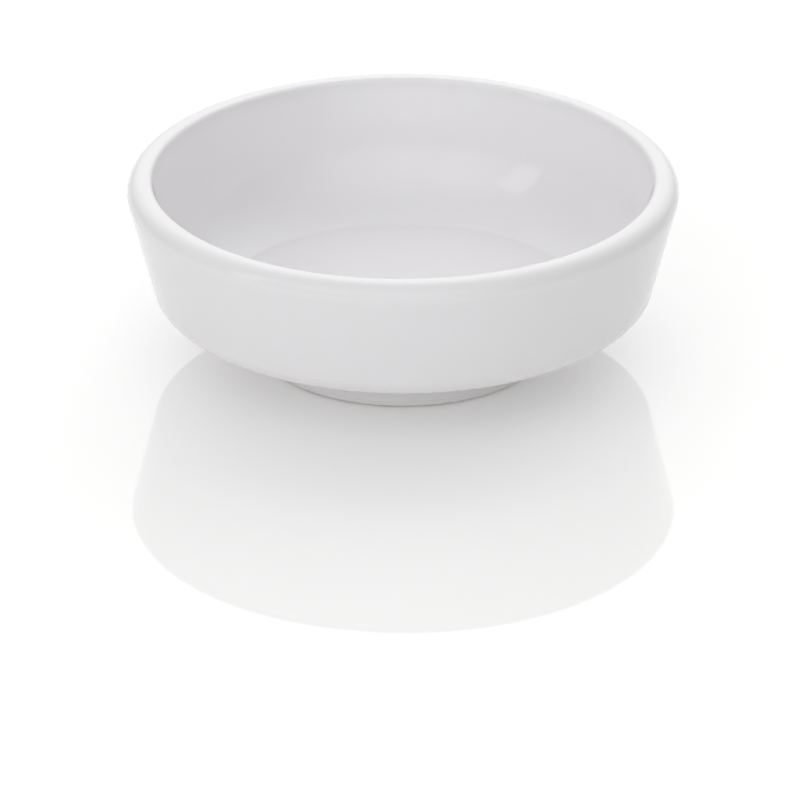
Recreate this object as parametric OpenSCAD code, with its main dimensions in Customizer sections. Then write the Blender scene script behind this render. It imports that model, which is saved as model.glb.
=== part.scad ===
// Evaporating dish, 100 mm, glazed laboratory porcelain.
//
// A shallow round dish with a flat floor, a steep wall that leans outwards, a thick rounded rim
// without a spout, and a low foot ring. Three pieces, all coaxial with Z:
//   porcelain_body     the fired porcelain, bare only where the foot ring stands
//   glaze_coat         the glass coat over the inside, the rim and the outside
//   foot_recess_glaze  the glass patch under the dish, inside the foot ring
//
// Units are millimetres. Z is up, Z = 0 is the standing face and the origin is its centre.
// Every section below is a half profile in (radius, height), turned about Z.

/* [Bowl] */
// outside diameter at the widest point of the rim
rim_diameter = 100; // [97:1:108]
// height from the table to the top of the rim
dish_height = 34.4; // [32.4:0.2:38]
// lean of the wall from upright, in degrees
wall_lean = 14; // [11:0.5:15]
// radius of the bend from the wall to the underside
outer_bend_radius = 5; // [3:0.5:8]
// slope of the underside from level, in degrees
underside_slope = 22.5; // [20:0.5:25]

/* [Rim] */
// thickness of the wall just under the rim, measured level
rim_thickness = 4.6; // [4:0.1:5.6]
// radius of the rim's outer rounding
rim_outer_radius = 2.7; // [1.8:0.1:2.9]
// radius of the rim's inner rounding
rim_inner_radius = 0.9; // [0.6:0.1:1]

/* [Inside] */
// height of the flat floor above the table
floor_height = 10.5; // [10:0.1:11.5]
// diameter at which the rising part of the floor would start if it were not rounded
floor_diameter = 65; // [60:0.5:67]
// slope of the rising part of the floor, in degrees
floor_slope = 30; // [27:0.5:33]
// radius of the hollow where the flat floor starts to rise
floor_bend_radius = 3; // [1.5:0.5:6]
// radius of the hollow where the floor turns up into the wall
inner_bend_radius = 18; // [10:0.5:20]

/* [Foot] */
// outside diameter of the foot ring
foot_diameter = 53; // [49:0.5:55]
// height of the foot ring's outer side
foot_height = 3.9; // [3.2:0.1:4.2]
// width of the foot ring
foot_width = 3.8; // [3.6:0.1:4.6]
// depth of the recess inside the foot ring
recess_depth = 3.6; // [3.2:0.1:4.2]
// rounding of the foot ring's two bottom edges
foot_edge_radius = 1.2; // [0.6:0.1:1.2]
// radius of the hollow where the foot ring meets the underside
foot_fillet_radius = 1.3; // [0.8:0.1:1.6]

/* [Glaze] */
// thickness of the glaze
glaze_thickness = 0.25; // [0.15:0.05:0.35]
// height of the bare band wiped clean round the foot ring
bare_band = 1.3; // [1.3:0.1:1.5]

/* [Hidden] */

$fa = 1.5;
$fs = 0.4;

// longest step along an arc, in millimetres and in degrees
step_length = 0.8;
step_angle = 8;

rim_radius = rim_diameter / 2;
foot_radius = foot_diameter / 2;
foot_inner_radius = foot_radius - foot_width;
foot_middle = foot_radius - foot_width / 2;

// the point where the rim's outer rounding runs into the outside of the wall
wall_top = [
  rim_radius - rim_outer_radius * (1 - cos(wall_lean)),
  dish_height - rim_outer_radius * (1 + sin(wall_lean))
];
wall_direction = 90 - wall_lean;

// the point where the rim's inner rounding runs into the inside of the wall
inner_wall_top = [rim_radius - rim_thickness, dish_height - rim_inner_radius];

// the rising part of the floor, from the flat to the wall, before its two ends are rounded
rise_foot = [floor_diameter / 2, floor_height];
rise_top = meet(rise_foot, floor_slope, inner_wall_top, wall_direction);
rise_rounded =
  floor_bend_radius * tan(floor_slope / 2)
  + inner_bend_radius * tan((wall_direction - floor_slope) / 2);

// both hollows shrink together where the rise is too short for them
bend_fit = min(1, 0.96 * norm(rise_top - rise_foot) / rise_rounded);

// The section's corners before rounding, anticlockwise from the axis under the floor.
// Each row is [corner, rounding radius, glaze on the side that leads to the next corner].
under_middle = [[0, recess_depth], 0, 1];
recess_corner = [[foot_inner_radius, recess_depth], foot_fillet_radius, 1];
foot_inner_edge = [[foot_inner_radius, 0], foot_edge_radius, 0];
foot_outer_edge = [[foot_radius, 0], foot_edge_radius, 1];
foot_top = [[foot_radius, foot_height], foot_fillet_radius, 1];
outer_bend = [
  meet([foot_radius, foot_height], underside_slope, wall_top, wall_direction),
  outer_bend_radius,
  1
];
rim_outer_corner = [
  meet(wall_top, wall_direction, [0, dish_height], 0),
  rim_outer_radius,
  1
];
rim_inner_corner = [
  meet(inner_wall_top, wall_direction, [0, dish_height], 0),
  rim_inner_radius,
  1
];
inner_bend = [rise_top, inner_bend_radius * bend_fit, 1];
floor_bend = [rise_foot, floor_bend_radius * bend_fit, 1];
floor_middle = [[0, floor_height], 0, 0];

section = [
  under_middle,
  recess_corner,
  foot_inner_edge,
  foot_outer_edge,
  foot_top,
  outer_bend,
  rim_outer_corner,
  rim_inner_corner,
  inner_bend,
  floor_bend,
  floor_middle
];

// ---------- outline helpers ----------

function wrap(i) = (i + len(section)) % len(section);
function corner(i) = section[wrap(i)][0];
function radius(i) = section[wrap(i)][1];
function glazed(i) = section[wrap(i)][2];

// direction of the side from one point to another, in degrees
function heading(p, q) = atan2(q[1] - p[1], q[0] - p[0]);

// where the line through p at angle a crosses the line through q at angle b
function meet(p, a, q, b) =
  let (s = ((q[0] - p[0]) * sin(b) - (q[1] - p[1]) * cos(b)) / sin(b - a))
  p + s * [cos(a), sin(a)];

// the side from corner i to the next one, moved into the porcelain by the depth of its glaze
function side_point(i, depth) =
  let (a = heading(corner(i), corner(i + 1)))
  corner(i) + glazed(i) * depth * [-sin(a), cos(a)];
function side_heading(i) = heading(corner(i), corner(i + 1));

// corner i after both of its sides have moved in
function moved_corner(i, depth) =
  meet(side_point(i - 1, depth), side_heading(i - 1), side_point(i, depth), side_heading(i));

// how far the outline turns at corner i: positive at an outward corner, negative in a hollow
function turn(i) =
  let (t = side_heading(i) - side_heading(i - 1))
  t > 180 ? t - 360 : t < -180 ? t + 360 : t;

// corner i rounded as an arc; the radius shrinks at outward corners and grows in hollows as the
// glaze comes off, so the coat keeps one thickness
function rounded_corner(i, depth) =
  let (
    t = turn(i),
    both = glazed(i - 1) * glazed(i),
    r = radius(i) - sign(t) * both * depth,
    v = moved_corner(i, depth),
    a = side_heading(i - 1),
    start = v - r * tan(abs(t) / 2) * [cos(a), sin(a)],
    centre = start + sign(t) * r * [-sin(a), cos(a)],
    n = ceil(max(abs(t) / step_angle, abs(t) * PI / 180 * r / step_length))
  )
  radius(i) == 0
    ? [v]
    : [for (k = [0:n]) centre + sign(t) * r * [sin(a + t * k / n), -cos(a + t * k / n)]];

// the whole outline, with everything down to a depth under the glaze surface taken off
function outline(depth) =
  [for (i = [0:len(section) - 1]) each rounded_corner(i, depth)];

// ---------- pieces ----------

// everything between the glaze surface and the porcelain
module glaze_section() {
  difference() {
    polygon(outline(0));
    polygon(outline(glaze_thickness));
  }
}

// the part of the section under the dish, inside the foot ring
module recess_area() {
  square([foot_middle, (recess_depth + floor_height) / 2]);
}

// the foot ring's bare band
module bare_area() {
  square([foot_radius + 1, bare_band]);
}

module porcelain_body() {
  color("#ece8df")
    rotate_extrude()
      polygon(outline(glaze_thickness));
}

module glaze_coat() {
  color("#f7f8f8")
    rotate_extrude()
      difference() {
        glaze_section();
        recess_area();
        bare_area();
      }
}

module foot_recess_glaze() {
  color("#f4f5f5")
    rotate_extrude()
      difference() {
        intersection() {
          glaze_section();
          recess_area();
        }
        bare_area();
      }
}

porcelain_body();
glaze_coat();
foot_recess_glaze();
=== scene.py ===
"""A glazed porcelain evaporating dish on a glossy white light table, in soft studio light.

Every piece of the dish is an outline turned round the frame's Z axis: the fired porcelain, the glaze
coat over it, and the patch of glaze inside the foot ring. Outlines are worked out in millimetres, as
(radius, height), and become meshes in metres.
"""

import math
from typing import NamedTuple

import bpy
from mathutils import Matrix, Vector


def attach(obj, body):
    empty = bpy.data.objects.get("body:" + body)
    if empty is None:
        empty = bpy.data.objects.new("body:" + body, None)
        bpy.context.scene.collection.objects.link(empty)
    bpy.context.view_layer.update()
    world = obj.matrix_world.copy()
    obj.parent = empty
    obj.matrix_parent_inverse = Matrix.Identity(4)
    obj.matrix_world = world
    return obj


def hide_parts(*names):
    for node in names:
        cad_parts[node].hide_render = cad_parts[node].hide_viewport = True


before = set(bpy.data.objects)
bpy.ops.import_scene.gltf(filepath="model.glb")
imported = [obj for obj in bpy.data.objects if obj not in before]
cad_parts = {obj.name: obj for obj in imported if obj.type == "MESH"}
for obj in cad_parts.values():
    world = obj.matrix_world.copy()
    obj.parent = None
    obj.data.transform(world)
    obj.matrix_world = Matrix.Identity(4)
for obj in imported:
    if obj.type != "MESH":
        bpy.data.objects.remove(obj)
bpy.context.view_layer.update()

MM = 0.001
TOUCHING = 0.01  # millimetres

# ---------- the section's roundings and slopes, in millimetres and degrees ----------

WALL_LEAN = 14
RIM_THICKNESS = 4.6
RIM_OUTER_RADIUS = 2.7
RIM_INNER_RADIUS = 0.9
OUTER_BEND_RADIUS = 5
UNDERSIDE_SLOPE = 22.5
FLOOR_RADIUS = 32.5
FLOOR_SLOPE = 30
FLOOR_BEND_RADIUS = 3
INNER_BEND_RADIUS = 18
FOOT_HEIGHT = 3.9
FOOT_EDGE_RADIUS = 1.2
FOOT_FILLET_RADIUS = 1.3

# ---------- sizes read from the frame, in millimetres ----------


def rings(node):
    """The (radius, height) of every vertex of a CAD node."""
    return [
        (math.hypot(vertex.co.x, vertex.co.y) / MM, vertex.co.z / MM)
        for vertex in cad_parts[node].data.vertices
    ]


def edge_radii(node_rings):
    """The radii of a glaze node's lower edge, where it ends above the bare foot."""
    lowest = min(z for r, z in node_rings)
    return [r for r, z in node_rings if z < lowest + TOUCHING]


body_rings = rings("porcelain_body")
coat_rings = rings("glaze_coat")
patch_rings = rings("foot_recess_glaze")

rim_radius = max(r for r, z in coat_rings)
dish_height = max(z for r, z in coat_rings)
glaze_thickness = rim_radius - max(r for r, z in body_rings)
bare_band = min(z for r, z in coat_rings)
foot_radius = max(edge_radii(coat_rings))
foot_inner_radius = min(edge_radii(patch_rings))
foot_middle = (foot_radius + foot_inner_radius) / 2
recess_depth = max(z for r, z in patch_rings) - glaze_thickness
flat_floor_radius = FLOOR_RADIUS - FLOOR_BEND_RADIUS * math.tan(math.radians(FLOOR_SLOPE / 2))
floor_height = max(z for r, z in coat_rings if r < flat_floor_radius + TOUCHING)

# ---------- mesh fineness ----------

SPOKES = 288  # steps round the dish
ARC_STEP = 0.5  # millimetres
ARC_TURN = 6  # degrees
SIDE_STEP = 1.2  # millimetres

# ---------- the fired dish's unevenness, in millimetres: (amount, waves round the dish, phase) ----------

OUT_OF_ROUND = [(0.05, 2, 0.7), (0.02, 3, 2.1)]
RIM_SAG = [(0.05, 2, 2.3), (0.02, 5, 0.4)]
GLAZE_LINE = [(0.07, 2, 1.1), (0.05, 5, 0.3), (0.035, 11, 2.6), (0.02, 23, 4.0)]
GLAZE_LINE_REACH = 1.1  # how far above its edge the glaze follows the uneven line

# ---------- the finishes: sizes in millimetres, colours as linear (r, g, b) ----------

GLAZE_TINTS = [(0.803, 0.789, 0.802), (0.823, 0.809, 0.822)]
# painted shade: the top of the rim is tinted darker than the rest of the glaze
GLAZE_TINT_WITH_RIM_SHADE = (0.780, 0.766, 0.776)
GLAZE_BLOTCH = 22  # grain of the tint's slow change
GLAZE_GLOSS = [0.02, 0.05]  # roughness of the coat where it is smoothest and dullest
GLOSS_BLOTCH = 9
RIPPLE_GRAIN = 4.5
RIPPLE_DEPTH = 0.008
UNDER_GLAZE_GLOW = 1.2  # how far light spreads in the white body under the glaze

BARE_TINTS = [(0.74, 0.73, 0.71), (0.84, 0.83, 0.81)]
BARE_GRAIN = 0.4
BARE_GRAIN_DEPTH = 0.03
# painted contact shade where the foot stands on the table, mottled in patches like grime
SHADE_AND_GRIME_TINT = (0.22, 0.215, 0.21)
SHADE_AND_GRIME_HEIGHTS = [0.15, 0.45]  # full up to the first, gone from the second
THINNED_SHADE_HEIGHTS = [0.02, 0.09]  # the painted shade mostly left off up to the first, in full from the second
SHADE_AND_GRIME_ON_STANDING_FACE = 0.2  # the share of painted shade and grime left on the standing face
SHADE_AND_GRIME_PATCH = 3
SHADE_AND_GRIME_PATCH_RANGE = [0.3, 1.2]

TABLE_TINT = (0.75, 0.745, 0.74)
TABLE_GLOW = 0.163

# ---------- the stage ----------

TABLE_WIDTH = 8.0  # metres
CAMERA_DISTANCE = 1.466  # metres
CAMERA_AZIMUTH = 270  # degrees from +X towards +Y
CAMERA_ELEVATION = 24.55  # degrees
CAMERA_LENS = 360.4  # millimetres
CAMERA_SENSOR = 36  # millimetres
CAMERA_AIM = (-0.00057, -0.0226, 0)  # metres


# ---------- outlines, in (radius, height) ----------


class Corner(NamedTuple):
    """A corner of the section, and whether the side that leads to the next corner is glazed."""

    point: tuple
    rounding: float
    glazed: bool


def meet(p, p_angle, q, q_angle):
    """Where the line through p at p_angle crosses the line through q at q_angle."""
    a = math.radians(p_angle)
    b = math.radians(q_angle)
    along = ((q[0] - p[0]) * math.sin(b) - (q[1] - p[1]) * math.cos(b)) / math.sin(b - a)
    return (p[0] + along * math.cos(a), p[1] + along * math.sin(a))


def section_corners():
    """The dish's section before rounding, anticlockwise from the axis under the floor."""
    lean = math.radians(WALL_LEAN)
    up_wall = 90 - WALL_LEAN
    wall_top = (
        rim_radius - RIM_OUTER_RADIUS * (1 - math.cos(lean)),
        dish_height - RIM_OUTER_RADIUS * (1 + math.sin(lean)),
    )
    inner_wall_top = (rim_radius - RIM_THICKNESS, dish_height - RIM_INNER_RADIUS)
    rim_level = (0, dish_height)
    foot_top = (foot_radius, FOOT_HEIGHT)
    rise_foot = (FLOOR_RADIUS, floor_height)
    return [
        Corner((0, recess_depth), 0, True),
        Corner((foot_inner_radius, recess_depth), FOOT_FILLET_RADIUS, True),
        Corner((foot_inner_radius, 0), FOOT_EDGE_RADIUS, False),
        Corner((foot_radius, 0), FOOT_EDGE_RADIUS, True),
        Corner(foot_top, FOOT_FILLET_RADIUS, True),
        Corner(meet(foot_top, UNDERSIDE_SLOPE, wall_top, up_wall), OUTER_BEND_RADIUS, True),
        Corner(meet(wall_top, up_wall, rim_level, 0), RIM_OUTER_RADIUS, True),
        Corner(meet(inner_wall_top, up_wall, rim_level, 0), RIM_INNER_RADIUS, True),
        Corner(meet(rise_foot, FLOOR_SLOPE, inner_wall_top, up_wall), INNER_BEND_RADIUS, True),
        Corner(rise_foot, FLOOR_BEND_RADIUS, True),
        Corner((0, floor_height), 0, False),
    ]


def moved_in(point, side_angle, distance):
    """The point moved into the porcelain, square to a side."""
    a = math.radians(side_angle)
    return (point[0] - distance * math.sin(a), point[1] + distance * math.cos(a))


def rounded_corner(before, here, after, depth):
    """The arc at a corner of the outline that lies a depth under the glaze surface."""
    come = math.degrees(math.atan2(here.point[1] - before.point[1], here.point[0] - before.point[0]))
    go = math.degrees(math.atan2(after.point[1] - here.point[1], after.point[0] - here.point[0]))
    vertex = meet(
        moved_in(here.point, come, depth * before.glazed),
        come,
        moved_in(here.point, go, depth * here.glazed),
        go,
    )
    if here.rounding == 0:
        return [vertex]
    turn = (go - come + 180) % 360 - 180
    bend = math.copysign(1, turn)
    radius = here.rounding - bend * depth * (before.glazed and here.glazed)
    cut_back = radius * math.tan(math.radians(abs(turn)) / 2)
    a = math.radians(come)
    start = (vertex[0] - cut_back * math.cos(a), vertex[1] - cut_back * math.sin(a))
    centre = moved_in(start, come, bend * radius)
    arc_length = math.radians(abs(turn)) * here.rounding
    steps = math.ceil(max(arc_length / ARC_STEP, abs(turn) / ARC_TURN))
    return [
        moved_in(centre, come + turn * k / steps, -bend * radius)
        for k in range(steps + 1)
    ]


def outline(depth):
    """The whole outline a depth under the glaze surface, anticlockwise from the axis under the dish."""
    corners = section_corners()
    points = []
    for i, here in enumerate(corners):
        points += rounded_corner(corners[i - 1], here, corners[(i + 1) % len(corners)], depth)
    return points


def outside_run(depth):
    """The outline from above the bare band on the foot's outside to the middle of the dish's floor."""
    points = outline(depth)
    first = next(i for i, (r, z) in enumerate(points) if r > foot_middle and z > bare_band)
    return points[first:]


def recess_run(depth):
    """The outline from the axis under the dish to above the bare band on the foot's inside."""
    points = outline(depth)
    last = next(i for i, (r, z) in enumerate(points) if z < bare_band)
    return points[:last]


def rolled_edge(face_radius, back_radius):
    """The glaze's rounded lower edge, from its face to the porcelain behind it."""
    width = face_radius - back_radius
    steps = 90 // ARC_TURN
    turns = [math.radians(90 * k / steps) for k in range(steps + 1)]
    return [
        (back_radius + width * math.cos(t), bare_band + abs(width) * (1 - math.sin(t)))
        for t in turns
    ]


def stepped(points):
    """The same run of points with its long sides cut into short steps."""
    out = [points[0]]
    for (r1, z1), (r2, z2) in zip(points, points[1:]):
        steps = max(1, math.ceil(math.hypot(r2 - r1, z2 - z1) / SIDE_STEP))
        for k in range(1, steps + 1):
            share = k / steps
            out.append((r1 + (r2 - r1) * share, z1 + (z2 - z1) * share))
    return out


# ---------- turning an outline into a mesh ----------


def waves(terms, turn):
    """A sum of waves round the dish, at one angle."""
    return sum(amount * math.cos(count * turn + phase) for amount, count, phase in terms)


def kiln_warp(r, z, turn):
    """The uneven shrinkage of a fired dish: nothing at the foot, most at the rim."""
    share = max(0.0, z / dish_height)
    grown = r * (1 + share * waves(OUT_OF_ROUND, turn) / rim_radius)
    return grown, z + share ** 2 * waves(RIM_SAG, turn) * r / rim_radius


def glaze_edge_warp(r, z, turn):
    """The uneven line and the slight bead where the glaze ends on the foot, on top of the kiln's warp."""
    above = (z - bare_band) / GLAZE_LINE_REACH
    if above < 1:
        z += waves(GLAZE_LINE, turn) * (1 - above) ** 2
    return kiln_warp(r, z, turn)


def lathe(name, loop, warp):
    """A closed mesh from an anticlockwise loop of (radius, height), warped at each angle round the dish.

    A point on the axis becomes one vertex that all spokes share.
    """
    vertices = []
    rows = []
    for r, z in loop:
        start = len(vertices)
        if r < TOUCHING:
            vertices.append((0, 0, z * MM))
            rows.append([start] * SPOKES)
            continue
        rows.append(list(range(start, start + SPOKES)))
        for k in range(SPOKES):
            turn = 2 * math.pi * k / SPOKES
            warped_r, warped_z = warp(r, z, turn)
            vertices.append((warped_r * math.cos(turn) * MM, warped_r * math.sin(turn) * MM, warped_z * MM))
    faces = []
    for row, next_row in zip(rows, rows[1:] + rows[:1]):
        for k in range(SPOKES):
            n = (k + 1) % SPOKES
            corners = list(dict.fromkeys((row[k], row[n], next_row[n], next_row[k])))
            if len(corners) > 2:
                faces.append(corners)
    mesh = bpy.data.meshes.new(name)
    mesh.from_pydata(vertices, [], faces)
    mesh.shade_smooth()
    piece = bpy.data.objects.new(name, mesh)
    bpy.context.scene.collection.objects.link(piece)
    return piece


# ---------- materials ----------


def new_material(name):
    """An empty material's node tree, and the material."""
    material = bpy.data.materials.new(name)
    material.use_nodes = True
    material.node_tree.nodes.clear()
    return material, material.node_tree


def add(tree, kind, settings=None, inputs=None):
    """A new shader node. Each input, by name or number, is a value or another node's output."""
    node = tree.nodes.new(kind)
    for name, value in (settings or {}).items():
        setattr(node, name, value)
    for name, value in (inputs or {}).items():
        if isinstance(value, bpy.types.NodeSocket):
            tree.links.new(value, node.inputs[name])
        else:
            node.inputs[name].default_value = value
    return node


def maths(tree, operation, first, second):
    """One step of arithmetic on values or other nodes' outputs."""
    node = add(tree, "ShaderNodeMath", {"operation": operation}, {0: first, 1: second})
    return node.outputs["Value"]


def object_place(tree):
    """The shaded point's place on the object, in metres."""
    return add(tree, "ShaderNodeTexCoord").outputs["Object"]


def cloud(tree, grain, detail=2.0, roughness=0.5):
    """Smooth noise whose blotches are about one grain across, in millimetres."""
    node = add(tree, "ShaderNodeTexNoise", inputs={
        "Vector": object_place(tree),
        "Scale": 1 / (grain * MM),
        "Detail": detail,
        "Roughness": roughness,
    })
    return node.outputs["Fac"]


def blend_colours(tree, factor, low, high):
    """The colour between low and high at a factor. Each is an (r, g, b) or another node's output."""
    ends = [end if isinstance(end, bpy.types.NodeSocket) else (*end, 1) for end in (low, high)]
    inputs = {"Factor": factor, "A": ends[0], "B": ends[1]}
    return add(tree, "ShaderNodeMix", {"data_type": "RGBA"}, inputs).outputs["Result"]


def blend_values(tree, factor, low, high):
    """The number between low and high at a factor from 0 to 1."""
    inputs = {"Value": factor, "To Min": low, "To Max": high}
    return add(tree, "ShaderNodeMapRange", inputs=inputs).outputs["Result"]


def bump(tree, height, depth):
    """A surface direction disturbed by a height pattern, whose full range is depth millimetres."""
    return add(tree, "ShaderNodeBump", inputs={"Height": height, "Distance": depth * MM}).outputs["Normal"]


def finish_material(tree, surface):
    """Make a shader node the material's surface."""
    add(tree, "ShaderNodeOutputMaterial", inputs={"Surface": surface.outputs["BSDF"]})


def height_share(tree, start, end):
    """0 up to the start height and 1 from the end height on, in millimetres, and even between them."""
    height = add(tree, "ShaderNodeSeparateXYZ", inputs={"Vector": object_place(tree)}).outputs["Z"]
    inputs = {"Value": height, "From Min": start * MM, "From Max": end * MM}
    return add(tree, "ShaderNodeMapRange", inputs=inputs).outputs["Result"]


def glazed_porcelain():
    """White porcelain under a clear, glossy, faintly rippled glaze, with painted shade making it a little
    greyer on the rim.
    """
    material, tree = new_material("glazed_porcelain")
    even_tint = blend_colours(tree, cloud(tree, GLAZE_BLOTCH, detail=3), *GLAZE_TINTS)
    # painted shade darkens the top of the rim
    rim_shade_share = height_share(tree, dish_height - RIM_OUTER_RADIUS, dish_height - RIM_INNER_RADIUS)
    surface = add(tree, "ShaderNodeBsdfPrincipled", inputs={
        "Base Color": blend_colours(tree, rim_shade_share, even_tint, GLAZE_TINT_WITH_RIM_SHADE),
        "Roughness": 0.55,
        "Specular IOR Level": 0.0,
        "Subsurface Weight": 0.15,
        "Subsurface Radius": (1.0, 0.9, 0.8),
        "Subsurface Scale": UNDER_GLAZE_GLOW * MM,
        "Coat Weight": 1.0,
        "Coat IOR": 1.5,
        "Coat Roughness": blend_values(tree, cloud(tree, GLOSS_BLOTCH), *GLAZE_GLOSS),
        "Coat Normal": bump(tree, cloud(tree, RIPPLE_GRAIN, detail=1), RIPPLE_DEPTH),
    })
    finish_material(tree, surface)
    return material


def bare_porcelain():
    """Fired porcelain without glaze: matt and grained, with painted contact shade, mottled like grime,
    beside the standing face.
    """
    material, tree = new_material("bare_porcelain")
    grain = cloud(tree, BARE_GRAIN, detail=4, roughness=0.7)
    clean_tint = blend_colours(tree, grain, *BARE_TINTS)
    near_table = blend_values(tree, height_share(tree, *SHADE_AND_GRIME_HEIGHTS), 1, 0)
    thinned_on_standing_face = blend_values(tree, height_share(tree, *THINNED_SHADE_HEIGHTS), SHADE_AND_GRIME_ON_STANDING_FACE, 1)
    patches = blend_values(tree, cloud(tree, SHADE_AND_GRIME_PATCH, detail=5), *SHADE_AND_GRIME_PATCH_RANGE)
    # painted contact shade: darkest just above the table, thinner on the standing face, in patches
    shade_and_grime = maths(tree, "MULTIPLY", maths(tree, "MULTIPLY", near_table, thinned_on_standing_face), patches)
    surface = add(tree, "ShaderNodeBsdfPrincipled", inputs={
        "Base Color": blend_colours(tree, shade_and_grime, clean_tint, SHADE_AND_GRIME_TINT),
        "Roughness": 0.7,
        "Normal": bump(tree, grain, BARE_GRAIN_DEPTH),
    })
    finish_material(tree, surface)
    return material


def table_top():
    """Opal acrylic, lit from below and polished."""
    material, tree = new_material("table_top")
    surface = add(tree, "ShaderNodeBsdfPrincipled", inputs={
        "Base Color": (*TABLE_TINT, 1),
        "Roughness": 0.0,
        "IOR": 1.49,
        "Emission Color": (1, 1, 1, 1),
        "Emission Strength": TABLE_GLOW,
    })
    finish_material(tree, surface)
    return material


# ---------- the dish ----------


def dish_piece(name, loop, warp, material, node):
    """A piece of the dish that stands for a CAD node."""
    piece = lathe(name, loop, warp)
    piece.data.materials.append(material)
    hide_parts(node)
    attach(piece, "root")


def make_dish():
    """The three pieces. A glaze's loop joins its face, its back on the porcelain and its rolled edge."""
    dish_piece(
        "dish_porcelain",
        stepped(outline(glaze_thickness)),
        kiln_warp,
        bare_porcelain(),
        "porcelain_body",
    )
    glaze = glazed_porcelain()

    edge = rolled_edge(foot_radius, foot_radius - glaze_thickness)
    face = stepped(edge[:1] + outside_run(0))
    back = stepped(edge[-1:] + outside_run(glaze_thickness))
    loop = face + back[::-1] + edge[-2:0:-1]
    dish_piece("dish_glaze", loop, glaze_edge_warp, glaze, "glaze_coat")

    edge = rolled_edge(foot_inner_radius, foot_inner_radius + glaze_thickness)
    face = stepped(recess_run(0) + edge[:1])
    back = stepped(recess_run(glaze_thickness) + edge[-1:])
    loop = face + edge[1:-1] + back[::-1]
    dish_piece("recess_glaze", loop, glaze_edge_warp, glaze, "foot_recess_glaze")


# ---------- the stage: a lit table in a white room ----------


class Glow(NamedTuple):
    """A broad patch of light in the room: where its middle is, how sharply it fades, how bright it is."""

    azimuth: float  # degrees from +X towards +Y
    elevation: float  # degrees above the table
    sharpness: float
    brightness: float


ROOM_GLOWS = [
    Glow(90, 30, 3, 1.29),
    Glow(90, 60, 3, 0.50),
    Glow(40, 30, 4, 0.51),
    Glow(270, 30, 3, 1.50),
    Glow(315, 35, 4, 0.14),
    Glow(180, 20, 3, 0.45),
]


def towards(azimuth, elevation):
    """The unit direction at an azimuth and an elevation in degrees."""
    a = math.radians(azimuth)
    e = math.radians(elevation)
    return Vector((math.cos(e) * math.cos(a), math.cos(e) * math.sin(a), math.sin(e)))


def glow_light(tree, direction, glow):
    """The light that a glow sends from a direction."""
    middle = towards(glow.azimuth, glow.elevation)
    facing = add(tree, "ShaderNodeVectorMath", {"operation": "DOT_PRODUCT"}, {0: direction, 1: middle})
    ahead = maths(tree, "MAXIMUM", facing.outputs["Value"], 0)
    faded = maths(tree, "POWER", ahead, glow.sharpness)
    return maths(tree, "MULTIPLY", faded, glow.brightness)


def make_room():
    """A dim room lit by the glows, nothing below the table's level. The camera sees it as plain white."""
    world = bpy.data.worlds.new("studio")
    world.use_nodes = True
    bpy.context.scene.world = world
    tree = world.node_tree
    tree.nodes.clear()
    direction = add(tree, "ShaderNodeTexCoord").outputs["Generated"]
    light = 0
    for glow in ROOM_GLOWS:
        light = maths(tree, "ADD", light, glow_light(tree, direction, glow))
    height = add(tree, "ShaderNodeSeparateXYZ", inputs={"Vector": direction}).outputs["Z"]
    above = maths(tree, "GREATER_THAN", height, 0)
    light = maths(tree, "MULTIPLY", light, above)
    seen = add(tree, "ShaderNodeLightPath").outputs["Is Camera Ray"]
    light = maths(tree, "MAXIMUM", light, seen)
    background = add(tree, "ShaderNodeBackground", inputs={"Color": (1, 1, 1, 1), "Strength": light})
    add(tree, "ShaderNodeOutputWorld", inputs={"Surface": background.outputs["Background"]})


def place(thing, location, aim):
    """Put a light or a camera in the scene, turned to face the aim."""
    thing.location = location
    thing.rotation_mode = "QUATERNION"
    thing.rotation_quaternion = (aim - location).to_track_quat("-Z", "Y")
    bpy.context.scene.collection.objects.link(thing)


class Softbox(NamedTuple):
    """A rectangular softbox that faces the dish: where it stands, its size, how bright it is."""

    azimuth: float  # degrees from +X towards +Y
    elevation: float  # degrees above the table
    distance: float  # metres from the middle of the table
    width: float  # metres
    height: float  # metres
    brightness: float  # 1 is a plain white


SOFTBOXES = {
    "key_softbox": Softbox(204.5, 23, 1.2, 0.28, 0.83, 1.16),
    "fill_panel": Softbox(229, 30, 1.3, 0.75, 1.15, 0.35),
}


def make_softbox(name, box):
    """The softbox's light, which the camera doesn't see."""
    light = bpy.data.lights.new(name, "AREA")
    light.shape = "RECTANGLE"
    light.size = box.width
    light.size_y = box.height
    light.energy = box.brightness * math.pi * box.width * box.height
    softbox = bpy.data.objects.new(name, light)
    softbox.visible_camera = False
    place(softbox, towards(box.azimuth, box.elevation) * box.distance, Vector((0, 0, 0)))


def make_table():
    """The table's top: one level face at the dish's standing face, far wider than the dish."""
    half = TABLE_WIDTH / 2
    corners = [(-half, -half, 0), (half, -half, 0), (half, half, 0), (-half, half, 0)]
    mesh = bpy.data.meshes.new("table")
    mesh.from_pydata(corners, [], [(0, 1, 2, 3)])
    mesh.materials.append(table_top())
    table = bpy.data.objects.new("table", mesh)
    bpy.context.scene.collection.objects.link(table)


def make_camera():
    """A long lens that looks down on the dish from in front."""
    data = bpy.data.cameras.new("camera")
    data.lens = CAMERA_LENS
    data.sensor_width = CAMERA_SENSOR
    camera = bpy.data.objects.new("camera", data)
    place(camera, towards(CAMERA_AZIMUTH, CAMERA_ELEVATION) * CAMERA_DISTANCE, Vector(CAMERA_AIM))
    bpy.context.scene.camera = camera


make_dish()
make_table()
make_room()
for name, box in SOFTBOXES.items():
    make_softbox(name, box)
make_camera()
bpy.context.scene.view_settings.view_transform = "Standard"
